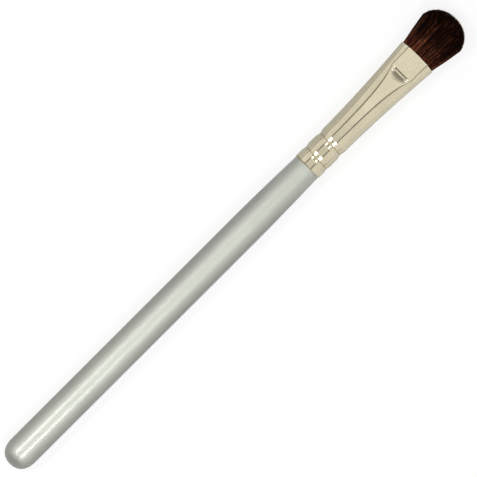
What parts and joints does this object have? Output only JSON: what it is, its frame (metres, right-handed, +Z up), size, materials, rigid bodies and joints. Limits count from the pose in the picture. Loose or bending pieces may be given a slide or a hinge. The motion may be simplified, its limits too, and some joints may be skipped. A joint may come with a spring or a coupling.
{
  "type": "eyeshadow brush",
  "caption": "Flat eyeshadow brush: a round lacquered wooden handle, a crimped metal ferrule that is pressed flat towards its mouth, and a domed tuft of dark brown hair.",
  "frame": {"origin": "on the surface that the handle lies on, under the middle of the brush's bounding box", "axes": "+X along the brush from the butt of the handle to the hair, +Z up and square to the ferrule's pressed faces, +Y across the flat of the hair"},
  "size_m": [0.156, 0.0126, 0.0083],
  "materials": {
    "handle_wood": "matte",
    "silver_lacquer": "gloss",
    "wood_glue": "gloss",
    "plated_brass": "polished",
    "epoxy": "gloss",
    "hair": "satin",
    "thread": "matte"
  },
  "bodies": {
    "root": {"handle_core": "handle_wood", "handle_lacquer": "silver_lacquer", "tenon_glue": "wood_glue", "ferrule": "plated_brass", "epoxy_plug": "epoxy", "hair_root": "hair", "root_thread": "thread", "hair_tuft": "hair"}
  },
  "joints": []
}
